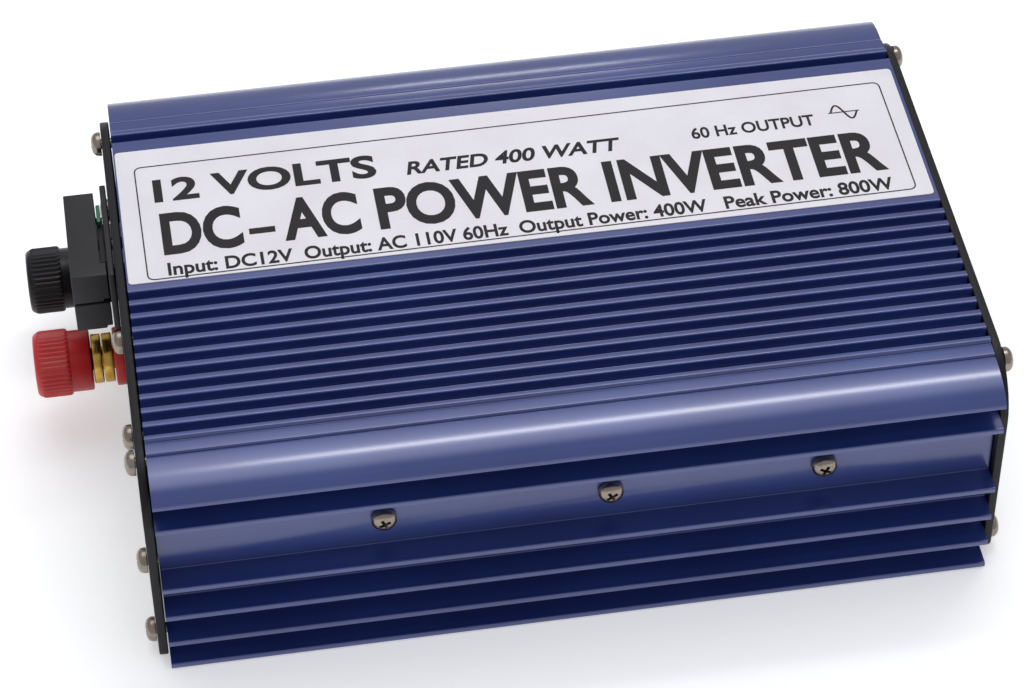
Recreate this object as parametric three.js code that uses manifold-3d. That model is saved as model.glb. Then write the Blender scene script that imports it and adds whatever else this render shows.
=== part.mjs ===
// DC to AC power inverter: a finned aluminium housing on a sliding base plate, closed by two end panels.
// Millimetres, +Z up. X runs along the extrusion from the DC end (-X) to the AC end (+X), -Y is the front
// side, and the origin is the centre of the underside.
import * as THREE from "three";
import { mergeVertices } from "three/addons/utils/BufferGeometryUtils.js";
import Module from "manifold-3d";

const wasm = await Module();
wasm.setup();

const play = 0.3; // gap between pieces that touch

const housing = {
  length: 200,
  width: 141.3, // over the side fins
  height: 62.5,
  wallOut: 6.7, // from the fin tips in to the outer face of the side wall
  wallIn: 9.2,
  ceiling: 57,
  lipUnder: 55.7, // underside of the lip that the rounded top edge ends in
};
const sideFins = { tops: [1.6, 9.7, 19, 28.8, 49.5], thickness: 1.6, bevel: 0.35 };
// the rounded top edge, a quarter ellipse
const roll = { across: 12.1, up: 5.2, foot: 0.4, inset: 0.3, steps: 12 };
const grooves = { first: 19.83, pitch: 4.48, count: 11, width: 2.4, floor: 2, depth: 3, bevel: 0.25 };
const foot = { inner: 12.2, slotLow: 0.9, slotHigh: 2.5, slotIn: 10, block: 13 };
const ports = [
  { inset: 15.2, z: 57.2, radius: 3.3 },
  { inset: 9.8, z: 29.2, radius: 3.2 },
  { inset: 9.2, z: 4.8, radius: 2.7 },
]; // screw ports down each side: top, middle and bottom
const base = { thickness: 2.2, tongueLow: 1.2, tongue: 10.3, step: 12.5 };
const panel = {
  thickness: 2.2,
  inset: { dc: 2.25, ac: 4.5 }, // from the fin tips
  low: 1.2,
  high: 61.2,
  topRadius: 15,
  lowRadius: 3,
};
const label = { length: 198.7, width: 47.5, thickness: 0.2, x: -0.25, y: 21.4, lift: 0.1 };
const screw = { headRadius: 3.05, headHeight: 2.5, shank: 1.3, hole: 1.65, length: 10 };
const sideScrews = { xs: [-46.7, 7.3, 58.8], z: 37.8, length: 13 };

const post = { z: 20, redY: 16.55, blackY: 47 };
const postAt = {
  spigotEnd: -4,
  baseTop: 3,
  ringLow: 3.3,
  ringTop: 5.8,
  washerTop: 8.5,
  collarTop: 14.2,
  capTop: 23,
  studIn: -13,
  studOut: 20.5,
}; // distances outward from the face of the DC panel
const postRadius = {
  stud: 3,
  bore: 3.3,
  spigot: 5,
  base: 7.4,
  brass: 6.3,
  collar: 7.8,
  grip: 8.5,
  valley: 8.1,
};
const knurls = 24;

const fuses = { y: 20.25, width: 29.8, low: 41.3, split: 50.25, seam: 0.7, high: 59.5 };
const fuseDepth = { bezel: 1.5, face: 10.9 }; // outward from the face of the DC panel
const fuseTube = { width: 20, height: 6.2 }; // opening of a holder
const fuseWindow = { width: 16.4, height: 4.8 }; // opening in the bezel and the terminal board
const fuseHead = { width: 19, height: 5.1, deep: 4 };
const fuseWaist = { width: 15.2, height: 3.8 };
const fuseBlade = { width: 5.2, height: 0.8, from: 1, to: 8, off: 4.7 };
const fan = { size: 40, depth: 10, pitch: 32, y: -24.5, z: 34.1, bore: 18.8, hub: 8.2, blades: 7 };

const outlets = { ys: [-42, -4], z: 31, face: 34, body: 28, depth: 16, lip: 1.8 };
const rocker = { y: 36, z: 36, width: 9.6, height: 16, throwAngle: 22 };
const lamps = { ys: [31, 41], z: 16, radius: 2.45 };
const board = { length: 184, low: 8.3, thickness: 1.6 };
const clampBar = { length: 124, x: 6, inset: 14.4, thick: 5, high: 10 };

const halfWidth = housing.width / 2;
const halfLength = housing.length / 2;
const panelIn = halfLength + play;
const panelOut = panelIn + panel.thickness;

// ---- solids ----

const alongX = new THREE.Matrix4().makeBasis(
  new THREE.Vector3(0, 1, 0),
  new THREE.Vector3(0, 0, 1),
  new THREE.Vector3(1, 0, 0),
); // turns an outline drawn in Y and Z, extruded, to run along X
const aboutX = new THREE.Matrix4().makeBasis(
  new THREE.Vector3(0, 0, 1),
  new THREE.Vector3(1, 0, 0),
  new THREE.Vector3(0, 1, 0),
); // turns a lathed shape from the Y axis to the X axis

function toSolid(geometry) {
  const plain = geometry.index ? geometry.toNonIndexed() : geometry.clone();
  plain.deleteAttribute("normal");
  plain.deleteAttribute("uv");
  const merged = mergeVertices(plain, 1e-4);
  const corners = [];
  for (let i = 0; i < merged.index.count; i += 3) {
    const [a, b, c] = [0, 1, 2].map((k) => merged.index.getX(i + k));
    if (a !== b && b !== c && c !== a) corners.push(a, b, c);
  }
  return new wasm.Manifold(
    new wasm.Mesh({
      numProp: 3,
      vertProperties: new Float32Array(merged.attributes.position.array),
      triVerts: new Uint32Array(corners),
    }),
  );
}

function toGeometry(solid) {
  const mesh = solid.getMesh();
  const geometry = new THREE.BufferGeometry();
  geometry.setAttribute("position", new THREE.BufferAttribute(new Float32Array(mesh.vertProperties), 3));
  geometry.setIndex(new THREE.BufferAttribute(new Uint32Array(mesh.triVerts), 1));
  geometry.computeVertexNormals();
  return geometry;
}

function box(x0, x1, y0, y1, z0, z1) {
  const geometry = new THREE.BoxGeometry(x1 - x0, y1 - y0, z1 - z0);
  geometry.translate((x0 + x1) / 2, (y0 + y1) / 2, (z0 + z1) / 2);
  return toSolid(geometry);
}

// A prism along X from a THREE.Shape or a list of [y, z] points, with arcs in the stated number of steps.
function prismAlongX(outline, x0, x1, curveSegments = 8) {
  const toShape = (points) => new THREE.Shape(points.map(([y, z]) => new THREE.Vector2(y, z)));
  const shape = outline instanceof THREE.Shape ? outline : toShape(outline);
  const geometry = new THREE.ExtrudeGeometry(shape, { depth: x1 - x0, bevelEnabled: false, curveSegments });
  geometry.applyMatrix4(alongX);
  geometry.translate(x0, 0, 0);
  return toSolid(geometry);
}

// A turned piece about the X axis, from a profile of [distance along X, radius].
function turned(profile, sides = 20) {
  const points = profile.map(([x, radius]) => new THREE.Vector2(radius, x));
  const geometry = new THREE.LatheGeometry(points, sides);
  geometry.applyMatrix4(aboutX);
  return toSolid(geometry);
}

function rodAlongX(x0, x1, radius, y = 0, z = 0, sides = 20) {
  return turned([[x0, 0], [x0, radius], [x1, radius], [x1, 0]], sides).translate([0, y, z]);
}

function rodAlongY(y0, y1, radius, x = 0, z = 0, sides = 20) {
  return rodAlongX(y0, y1, radius, 0, 0, sides).rotate([0, 0, 90]).translate([x, 0, z]);
}

function roundedRectangle(y0, y1, z0, z1, radius) {
  const shape = new THREE.Shape();
  shape.moveTo(y0 + radius, z0);
  shape.lineTo(y1 - radius, z0);
  shape.absarc(y1 - radius, z0 + radius, radius, -Math.PI / 2, 0, false);
  shape.lineTo(y1, z1 - radius);
  shape.absarc(y1 - radius, z1 - radius, radius, 0, Math.PI / 2, false);
  shape.lineTo(y0 + radius, z1);
  shape.absarc(y0 + radius, z1 - radius, radius, Math.PI / 2, Math.PI, false);
  shape.lineTo(y0, z0 + radius);
  shape.absarc(y0 + radius, z0 + radius, radius, Math.PI, Math.PI * 1.5, false);
  return shape;
}

const cutAll = (solid, tools) => tools.reduce((left, tool) => left.subtract(tool), solid);
const joinAll = (solids) => solids.reduce((whole, solid) => whole.add(solid));

// ---- materials ----

const material = (color, roughness, metalness) =>
  new THREE.MeshStandardMaterial({ color, roughness, metalness });
const blueAnodised = material(0x26307a, 0.38, 0.9);
const blackSteel = material(0x2b2b2e, 0.5, 0.1);
const labelFilm = material(0xe6e4ea, 0.35, 0.1);
const nickel = material(0x9c9287, 0.3, 1);
const brass = material(0xd9b45a, 0.28, 1);
const redPlastic = material(0xc8232b, 0.35, 0);
const blackPlastic = material(0x232326, 0.42, 0);
const fuseAmber = material(0xd9a520, 0.25, 0);
const boardGreen = material(0x2c6b4f, 0.5, 0);
const greyPlastic = material(0x3a3a3d, 0.5, 0);
const greenLens = material(0x49b35a, 0.2, 0);
const redLens = material(0xb6322f, 0.2, 0);
const ferrite = material(0x3c3c40, 0.7, 0.1);
const copper = material(0xb0683a, 0.4, 0.8);
const sleeve = material(0x20283a, 0.4, 0);
const epoxy = material(0x1d1d1f, 0.55, 0);
const aluminium = material(0xb9bbbe, 0.45, 1);

const inverter = new THREE.Group();

function put(name, solid, look, { at = [0, 0, 0], turn = [0, 0, 0], parent = inverter } = {}) {
  const mesh = new THREE.Mesh(toGeometry(solid), look);
  mesh.name = name;
  mesh.position.set(...at);
  mesh.rotation.set(...turn);
  parent.add(mesh);
  return mesh;
}

// ---- housing extrusion ----

// Outer outline of one side as [inset from the fin tips, height], from the underside up to the top grooves.
function sideOutline() {
  const { bevel, thickness, tops } = sideFins;
  const points = [[foot.inner, 0]];
  for (const top of tops) {
    const under = top - thickness;
    if (under > 0) points.push([housing.wallOut, under]);
    points.push([bevel, under], [0, under + bevel], [0, top - bevel], [bevel, top], [housing.wallOut, top]);
  }
  points.push([housing.wallOut, housing.lipUnder], [roll.inset + 0.8, housing.lipUnder]);
  const centre = [roll.inset + roll.across, housing.lipUnder + roll.foot];
  for (let i = 0; i <= roll.steps; i++) {
    const angle = (Math.PI / 2) * (i / roll.steps);
    points.push([centre[0] - roll.across * Math.cos(angle), centre[1] + roll.up * Math.sin(angle)]);
  }
  const crest = centre[1] + roll.up;
  points.push([centre[0] + 0.35, crest - 0.5], [centre[0] + 0.7, crest + 0.4]); // fine line behind the roll
  const top = housing.height;
  points.push([16.2, top - 0.7], [16.7, top - 1.1], [17.1, top]); // shallow step
  return points;
}

// One groove between two top fins, from its near edge to its far edge.
function grooveOutline(centre) {
  const { width, floor, depth, bevel } = grooves;
  const top = housing.height;
  return [
    [centre - width / 2 - bevel, top],
    [centre - width / 2, top - bevel],
    [centre - floor / 2, top - depth],
    [centre + floor / 2, top - depth],
    [centre + width / 2, top - bevel],
    [centre + width / 2 + bevel, top],
  ];
}

// Inner outline of one side from the underside up: base slot, port block, board slot, wall, ceiling.
function innerOutline() {
  return [
    [foot.inner, foot.slotLow],
    [foot.slotIn, foot.slotLow],
    [foot.slotIn, foot.slotHigh],
    [foot.block, foot.slotHigh],
    [foot.block, board.low - play],
    [housing.wallIn + play, board.low - play],
    [housing.wallIn + play, board.low + board.thickness + play],
    [11.5, board.low + board.thickness + play],
    [11.5, board.low + board.thickness + 1.5],
    [housing.wallIn, board.low + board.thickness + 1.5],
    [housing.wallIn, housing.ceiling - 3.2],
    [housing.wallIn + 3.2, housing.ceiling],
  ];
}

function housingShell() {
  const toFront = ([inset, z]) => [inset - halfWidth, z];
  const toRear = ([inset, z]) => [halfWidth - inset, z];
  const outline = [...sideOutline().map(toFront)];
  for (let i = 0; i < grooves.count; i++) {
    outline.push(...grooveOutline(grooves.first + i * grooves.pitch).map(toFront));
  }
  outline.push(...grooveOutline(grooves.first).map(toRear).reverse());
  outline.push(...sideOutline().map(toRear).reverse());
  outline.push(...innerOutline().map(toRear));
  outline.push(...innerOutline().map(toFront).reverse());
  const body = prismAlongX(outline, -halfLength, halfLength);
  const bosses = [];
  const holes = [];
  for (const port of ports) {
    for (const y of [port.inset - halfWidth, halfWidth - port.inset]) {
      bosses.push(rodAlongX(-halfLength, halfLength, port.radius, y, port.z, 12));
      holes.push(rodAlongX(-halfLength - 1, halfLength + 1, screw.hole, y, port.z, 10));
    }
  }
  for (const x of sideScrews.xs) {
    holes.push(rodAlongY(-halfWidth, halfWidth, screw.hole, x, sideScrews.z, 10));
  }
  return cutAll(joinAll([body, ...bosses]), holes);
}

function basePlate() {
  const edge = [
    [base.step, 0],
    [base.step, base.tongueLow],
    [base.tongue, base.tongueLow],
    [base.tongue, base.thickness],
  ];
  const outline = [
    ...edge.map(([inset, z]) => [inset - halfWidth, z]),
    ...edge.map(([inset, z]) => [halfWidth - inset, z]).reverse(),
  ];
  return prismAlongX(outline, -halfLength, halfLength);
}

function ratingLabel() {
  const low = housing.height + label.lift;
  const { length, width, x, y, thickness } = label;
  return box(x - length / 2, x + length / 2, y - width / 2, y + width / 2, low, low + thickness);
}

// ---- screws ----

// Pan-head cross-recessed screw along X, with the underside of its head at 0 and the head outward.
function panScrew(length) {
  const { headRadius, headHeight, shank } = screw;
  const body = turned(
    [
      [-length, 0],
      [-length, shank],
      [0, shank],
      [0, headRadius],
      [headHeight * 0.45, headRadius],
      [headHeight * 0.85, headRadius * 0.72],
      [headHeight, 0],
    ],
    12,
  );
  const arm = headRadius * 0.55;
  const recess = [
    box(headHeight * 0.5, headHeight + 1, -arm, arm, -0.4, 0.4),
    box(headHeight * 0.5, headHeight + 1, -0.4, 0.4, -arm, arm),
  ];
  return cutAll(body, recess);
}

function addScrews() {
  const endScrew = panScrew(screw.length);
  const dcEnd = new THREE.Group();
  dcEnd.position.x = -panelOut - play;
  dcEnd.rotation.z = Math.PI;
  const acEnd = new THREE.Group();
  acEnd.position.x = panelOut + play;
  inverter.add(dcEnd, acEnd);
  const dcPlaces = [];
  const acPlaces = [];
  for (const side of [-1, 1]) {
    ports.forEach(({ inset, z }, row) => {
      const y = side * (halfWidth - inset);
      dcPlaces.push([0, -y, z]);
      if (row !== 1) acPlaces.push([0, y, z]);
    });
  }
  dcPlaces.forEach((at, i) => put(`dc_end_screw_${i + 1}`, endScrew, nickel, { at, parent: dcEnd }));
  acPlaces.forEach((at, i) => put(`ac_end_screw_${i + 1}`, endScrew, nickel, { at, parent: acEnd }));
  const sideScrew = panScrew(sideScrews.length);
  const y = halfWidth - housing.wallOut + play;
  sideScrews.xs.forEach((x, i) => {
    put(`front_screw_${i + 1}`, sideScrew, nickel, { at: [x, -y, sideScrews.z], turn: [0, 0, -Math.PI / 2] });
    put(`rear_screw_${i + 1}`, sideScrew, nickel, { at: [x, y, sideScrews.z], turn: [0, 0, Math.PI / 2] });
  });
}

// ---- end panels ----

function panelBlank(x0, x1, inset) {
  const { low, high, topRadius, lowRadius } = panel;
  const y = halfWidth - inset;
  const shape = new THREE.Shape();
  shape.moveTo(-y + lowRadius, low);
  shape.lineTo(y - lowRadius, low);
  shape.absarc(y - lowRadius, low + lowRadius, lowRadius, -Math.PI / 2, 0, false);
  shape.lineTo(y, high - topRadius);
  shape.absarc(y - topRadius, high - topRadius, topRadius, 0, Math.PI / 2, false);
  shape.lineTo(-y + topRadius, high);
  shape.absarc(-y + topRadius, high - topRadius, topRadius, Math.PI / 2, Math.PI, false);
  shape.lineTo(-y, low + lowRadius);
  shape.absarc(-y + lowRadius, low + lowRadius, lowRadius, Math.PI, Math.PI * 1.5, false);
  return prismAlongX(shape, x0, x1);
}

function dcEndPanel() {
  const [x0, x1] = [-panelOut, -panelIn];
  const [before, after] = [x0 - 1, x1 + 1];
  const cuts = [];
  for (const { inset, z } of ports) {
    for (const side of [-1, 1]) {
      cuts.push(rodAlongX(before, after, screw.hole, side * (halfWidth - inset), z, 12));
    }
  }
  for (const y of [post.redY, post.blackY]) {
    cuts.push(rodAlongX(before, after, postRadius.spigot + play, y, post.z));
  }
  const half = fan.pitch / 2;
  for (const side of [-1, 1]) {
    cuts.push(rodAlongX(before, after, screw.hole, fan.y + side * half, fan.z + half, 12));
  }
  cuts.push(box(before, after, fuses.y - 11.5, fuses.y + 11.5, fuses.low + 1.5, fuses.high - 1.5));
  const disc = rodAlongX(before, after, fan.bore - 1, fan.y, fan.z, 24);
  for (let i = -4; i <= 4; i++) {
    const y = fan.y + i * 4;
    cuts.push(disc.intersect(box(before, after, y - 1.2, y + 1.2, fan.z - fan.size, fan.z + fan.size)));
  }
  return cutAll(panelBlank(x0, x1, panel.inset.dc), cuts);
}

function acEndPanel() {
  const [x0, x1] = [panelIn, panelOut];
  const [before, after] = [x0 - 1, x1 + 1];
  const cuts = [];
  for (const { inset, z } of [ports[0], ports[2]]) {
    for (const side of [-1, 1]) {
      cuts.push(rodAlongX(before, after, screw.hole, side * (halfWidth - inset), z, 12));
    }
  }
  const half = outlets.body / 2 + play;
  for (const y of outlets.ys) {
    cuts.push(box(before, after, y - half, y + half, outlets.z - half, outlets.z + half));
  }
  cuts.push(box(before, after, rocker.y - 6.6, rocker.y + 6.6, rocker.z - 9.7, rocker.z + 9.7));
  for (const y of lamps.ys) cuts.push(rodAlongX(before, after, lamps.radius + play, y, lamps.z));
  for (let i = 0; i < 10; i++) {
    const y = -45 + i * 10;
    cuts.push(prismAlongX(roundedRectangle(y - 3.5, y + 3.5, 54.2, 56.2, 0.9), before, after, 1));
  }
  return cutAll(panelBlank(x0, x1, panel.inset.ac), cuts);
}

// ---- binding posts ----

function postBase() {
  const { bore, spigot, base: outer } = postRadius;
  const { spigotEnd, baseTop } = postAt;
  return turned([
    [spigotEnd, bore],
    [spigotEnd, spigot],
    [play, spigot],
    [play, outer],
    [baseTop - 0.5, outer],
    [baseTop, outer - 0.5],
    [baseTop, bore],
    [spigotEnd, bore],
  ]);
}

// Threaded stud with the fixed clamping ring and the cross hole for a wire.
function postStud() {
  const { stud, brass: ring } = postRadius;
  const { studIn, ringLow, ringTop, studOut } = postAt;
  const body = turned([
    [studIn, 0],
    [studIn, stud],
    [ringLow, stud],
    [ringLow, ring],
    [ringTop, ring],
    [ringTop, stud],
    [studOut - 0.5, stud],
    [studOut, stud - 0.5],
    [studOut, 0],
  ]);
  return body.subtract(rodAlongY(-8, 8, 1.2, ringTop + 1.6, 0, 12));
}

function postWasher() {
  const { bore, brass: outer } = postRadius;
  const [low, high] = [postAt.ringTop + play, postAt.washerTop];
  return turned([[low, bore], [low, outer], [high, outer], [high, bore], [low, bore]]);
}

// Grip cap: a smooth collar, then straight knurls, then a rounded end.
function postCap() {
  const { bore, collar, grip, valley } = postRadius;
  const { washerTop, collarTop, capTop, studOut } = postAt;
  const low = washerTop + play;
  const core = turned(
    [
      [low, 0],
      [low, collar - 0.4],
      [low + 0.4, collar],
      [collarTop, collar],
      [collarTop, valley],
      [capTop - 1.5, valley],
      [capTop - 0.5, valley - 0.6],
      [capTop, valley - 1.8],
      [capTop, 0],
    ],
    knurls,
  );
  const ridges = Array.from({ length: knurls * 2 }, (_, i) => {
    const angle = (Math.PI * i) / knurls;
    const radius = i % 2 ? grip : valley - 0.05;
    return [radius * Math.cos(angle), radius * Math.sin(angle)];
  });
  const knurled = prismAlongX(ridges, collarTop, capTop - 1.4);
  return core.add(knurled).subtract(rodAlongX(low - 1, studOut + 0.5, bore, 0, 0, 20));
}

function hexNut(low, high, acrossFlats, bore) {
  const radius = acrossFlats / Math.sqrt(3);
  return rodAlongX(low, high, radius, 0, 0, 6).subtract(rodAlongX(low - 1, high + 1, bore, 0, 0, 20));
}

function addPost(name, y, plastic) {
  const group = new THREE.Group();
  group.position.set(-panelOut, y, post.z);
  group.rotation.z = Math.PI;
  inverter.add(group);
  const nutHigh = postAt.spigotEnd - play;
  put(`${name}_post_base`, postBase(), plastic, { parent: group });
  put(`${name}_post_stud`, postStud(), brass, { parent: group });
  put(`${name}_post_nut`, hexNut(nutHigh - 5, nutHigh, 10, postRadius.bore), brass, { parent: group });
  put(`${name}_post_washer`, postWasher(), brass, { parent: group });
  put(`${name}_post_cap`, postCap(), plastic, { parent: group });
}

// ---- fuse block ----

const fuseFace = -panelOut - fuseDepth.face;
const fuseFoot = -panelOut - play - fuseDepth.bezel - play;
const fuseBack = fuseFoot - 1.4; // back of the holders, off the terminal board

// A block along X, centred on the fuses or beside their centre, with its middle at a height.
function slotAlongX(x0, x1, middle, { width, height }, beside = 0) {
  const y = fuses.y + beside;
  return box(x0, x1, y - width / 2, y + width / 2, middle - height / 2, middle + height / 2);
}

// One holder is a tube for a blade fuse, with a foot at its front end that stands on the bezel.
function fuseHolder(low, high) {
  const middle = (low + high) / 2;
  const [y0, y1] = [fuses.y - fuses.width / 2, fuses.y + fuses.width / 2];
  const body = box(fuseFace, fuseBack, y0, y1, low, high);
  const heel = box(fuseBack - 0.5, fuseFoot, y0, y0 + 4.5, low + 0.8, high);
  return body.add(heel).subtract(slotAlongX(fuseFace - 1, fuseBack + 1, middle, fuseTube));
}

// Blade fuse: a wide head, a narrower body and two blades.
function bladeFuse(middle) {
  const front = fuseFace + 0.4;
  const { from, to, off } = fuseBlade;
  const head = slotAlongX(front, front + fuseHead.deep, middle, fuseHead);
  const waist = slotAlongX(front + fuseHead.deep - 0.2, -panelOut + from + 0.5, middle, fuseWaist);
  const blades = [-off, off].map((y) => slotAlongX(-panelOut + from, -panelOut + to, middle, fuseBlade, y));
  return joinAll([head, waist, ...blades]);
}

function addFuseBlock() {
  const { y, low, split, seam, high } = fuses;
  const upperLow = split + seam / 2;
  const lowerHigh = split - seam / 2;
  const windowOf = (middle) => slotAlongX(fuseFace, -panelOut, middle, fuseWindow);
  const middles = [(upperLow + high) / 2, (low + lowerHigh) / 2];
  const bezelX = -panelOut - play;
  const bezel = box(bezelX - fuseDepth.bezel, bezelX, y - 15.5, y + 17, low - 0.6, high + 0.3);
  put("fuse_bezel", cutAll(bezel, middles.map(windowOf)), blackPlastic);
  const plate = box(fuseBack + play, fuseFoot - 0.2, y - 10, y + 13.5, low + 1, high - 3);
  const tab = box(fuseBack + play, fuseFoot - 0.2, y + 4.6, y + 10.2, high - 4, high - 0.4);
  put("fuse_terminal_board", cutAll(plate.add(tab), middles.map(windowOf)), boardGreen);
  put("fuse_holder_upper", fuseHolder(upperLow, high), blackPlastic);
  put("fuse_holder_lower", fuseHolder(low, lowerHigh), blackPlastic);
  put("fuse_upper", bladeFuse(middles[0]), fuseAmber);
  put("fuse_lower", bladeFuse(middles[1]), fuseAmber);
}

// ---- cooling fan ----

function fanFrame() {
  const half = fan.size / 2;
  const shape = roundedRectangle(fan.y - half, fan.y + half, fan.z - half, fan.z + half, 3);
  const x0 = -halfLength;
  const x1 = x0 + fan.depth;
  const holes = [rodAlongX(x0 - 1, x1 + 1, fan.bore, fan.y, fan.z, 28)];
  for (const side of [-1, 1]) {
    for (const up of [-1, 1]) {
      const place = [fan.y + (side * fan.pitch) / 2, fan.z + (up * fan.pitch) / 2];
      holes.push(rodAlongX(x0 - 1, x1 + 1, screw.hole, ...place, 12));
    }
  }
  const frame = cutAll(prismAlongX(shape, x0, x1, 3), holes);
  const hub = rodAlongX(x1 - 1.8, x1, fan.hub, fan.y, fan.z, 24);
  const struts = [0, 120, 240].map((degrees) =>
    box(x1 - 1.8, x1, -1.2, 1.2, 0, fan.bore + 0.5).rotate([degrees, 0, 0]).translate([0, fan.y, fan.z]),
  );
  return joinAll([frame, hub, ...struts]);
}

function fanRotor() {
  const [x0, x1] = [-halfLength + 0.8, -halfLength + fan.depth - 2.1];
  const middle = (x0 + x1) / 2;
  const hub = turned([[x0, 0], [x0, fan.hub - 0.8], [x0 + 0.8, fan.hub], [x1, fan.hub], [x1, 0]], 24);
  const blades = [];
  for (let i = 0; i < fan.blades; i++) {
    const blade = box(-4, 4, -0.45, 0.45, fan.hub - 1, fan.bore - 0.9);
    blades.push(
      blade
        .rotate([0, 0, 42])
        .translate([middle, 0, 0])
        .rotate([(360 * i) / fan.blades, 0, 0]),
    );
  }
  return joinAll([hub, ...blades]).translate([0, fan.y, fan.z]);
}

function addFan() {
  put("fan_frame", fanFrame(), greyPlastic);
  put("fan_rotor", fanRotor(), blackPlastic);
  const fanScrew = panScrew(12);
  [-1, 1].forEach((side, i) => {
    const at = [-panelOut - play, fan.y + (side * fan.pitch) / 2, fan.z + fan.pitch / 2];
    put(`fan_screw_${i + 1}`, fanScrew, nickel, { at, turn: [0, 0, Math.PI] });
  });
}

// ---- AC end ----

// Three-hole socket: two parallel blade slots over a round earth hole.
function acOutlet(y) {
  const { z, face, body, depth, lip } = outlets;
  const x = panelOut + play;
  const outline = roundedRectangle(y - face / 2, y + face / 2, z - face / 2, z + face / 2, 3);
  const plate = prismAlongX(outline, x, x + lip, 3);
  const block = box(x - depth, x + 0.5, y - body / 2, y + body / 2, z - body / 2, z + body / 2);
  const outer = x + lip + 1;
  const cuts = [
    box(x - 9, outer, y - 7.35, y - 5.35, z - 0.2, z + 8.2),
    box(x - 9, outer, y + 5.35, y + 7.35, z + 0.6, z + 7.4),
    rodAlongX(x - 9, outer, 2.3, y, z - 7.9, 16),
  ];
  return cutAll(plate.add(block), cuts);
}

function switchBezel() {
  const { y, z } = rocker;
  const x = panelOut + play;
  const plate = prismAlongX(roundedRectangle(y - 7.6, y + 7.6, z - 10.7, z + 10.7, 1.2), x, x + 1.8, 2);
  const block = box(x - 12, x + 0.5, y - 6.3, y + 6.3, z - 9.4, z + 9.4);
  const well = box(x - 10.5, x + 3, y - 5.1, y + 5.1, z - 8.9, z + 8.9);
  return cutAll(plate.add(block), [well, rodAlongY(y - 7, y + 7, 1.2, x - 2, z, 12)]);
}

// Rocker key about its own pivot, with a shallow dished face and a pin at each side.
function rockerKey() {
  const { width, height } = rocker;
  const end = height / 2;
  const face = [
    [-end, 4.6],
    [-end / 2, 3.9],
    [0, 3.6],
    [end / 2, 3.9],
    [end, 4.6],
    [end - 0.3, 2.6],
    [3, -2.4],
    [-3, -2.4],
    [0.3 - end, 2.6],
  ];
  const shape = new THREE.Shape(face.map(([z, x]) => new THREE.Vector2(x, z)));
  const geometry = new THREE.ExtrudeGeometry(shape, { depth: width, bevelEnabled: false });
  geometry.rotateX(Math.PI / 2);
  geometry.translate(0, width / 2, 0);
  return toSolid(geometry).add(rodAlongY(-5.8, 5.8, 0.9, 0, 0, 12));
}

function lampLens() {
  const { radius } = lamps;
  const steps = 3;
  const dome = Array.from({ length: steps + 1 }, (_, i) => {
    const angle = (Math.PI / 2) * (i / steps);
    return [panelOut + 0.4 + radius * 0.8 * Math.sin(angle), radius * Math.cos(angle)];
  });
  dome[steps][1] = 0;
  return turned([[panelIn - 4, 0], [panelIn - 4, radius], ...dome], 16);
}

function addAcEnd() {
  outlets.ys.forEach((y, i) => put(`ac_outlet_${i + 1}`, acOutlet(y), blackPlastic));
  put("switch_bezel", switchBezel(), blackPlastic);
  put("switch_rocker", rockerKey(), blackPlastic, {
    at: [panelOut + play - 2, rocker.y, rocker.z],
    turn: [0, THREE.MathUtils.degToRad(rocker.throwAngle / 2), 0],
  });
  put("power_lamp", lampLens(), greenLens, { at: [0, lamps.ys[0], lamps.z] });
  put("fault_lamp", lampLens(), redLens, { at: [0, lamps.ys[1], lamps.z] });
}

// ---- inside ----

const boardTop = board.low + board.thickness;

function transformerCore() {
  const block = box(-24, 24, -10, 10, boardTop + 3, boardTop + 39);
  const windows = [-1, 1].map((side) =>
    box(side * 12.5 - 5.5, side * 12.5 + 5.5, -11, 11, boardTop + 9, boardTop + 33),
  );
  return cutAll(block, windows);
}

function transformerCoil() {
  const outer = box(-17.5, 17.5, -16, 16, boardTop + 9.5, boardTop + 32.5);
  const leg = box(-7.4, 7.4, -10.4, 10.4, boardTop + 1, boardTop + 40);
  return outer.subtract(leg);
}

function choke() {
  const steps = 8;
  const profile = Array.from({ length: steps }, (_, i) => {
    const angle = (Math.PI * 2 * i) / steps;
    return [7 * Math.sin(angle), 11.5 + 5 * Math.cos(angle)];
  });
  return turned([...profile, profile[0]], 16);
}

// Power transistor standing against the side wall: case, tab and three legs down to the board.
function transistor() {
  const [low, high] = [33.4, 43.4];
  const legs = [-2.5, 0, 2.5].map((x) => box(x - 0.4, x + 0.4, 3.9, 4.4, boardTop + play, low + 0.2));
  return joinAll([box(-5, 5, 0, 4.4, low, high), box(-5, 5, 0, 1.3, high - 0.2, high + 5), ...legs]);
}

function clampingBar(side) {
  const { length, x, inset, thick, high } = clampBar;
  const [near, far] = [halfWidth - inset - thick, halfWidth - inset];
  const [y0, y1] = side < 0 ? [-far, -near] : [near, far];
  const bar = box(x - length / 2, x + length / 2, y0, y1, sideScrews.z - high / 2, sideScrews.z + high / 2);
  return cutAll(
    bar,
    sideScrews.xs.map((at) => rodAlongY(y0 - 1, y1 + 1, screw.hole, at, sideScrews.z, 12)),
  );
}

function canUpright(radius, height) {
  const { PI } = Math;
  const geometry = new THREE.CylinderGeometry(radius, radius, height, 20);
  geometry.rotateX(PI / 2);
  geometry.translate(0, 0, height / 2);
  return toSolid(geometry);
}

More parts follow.
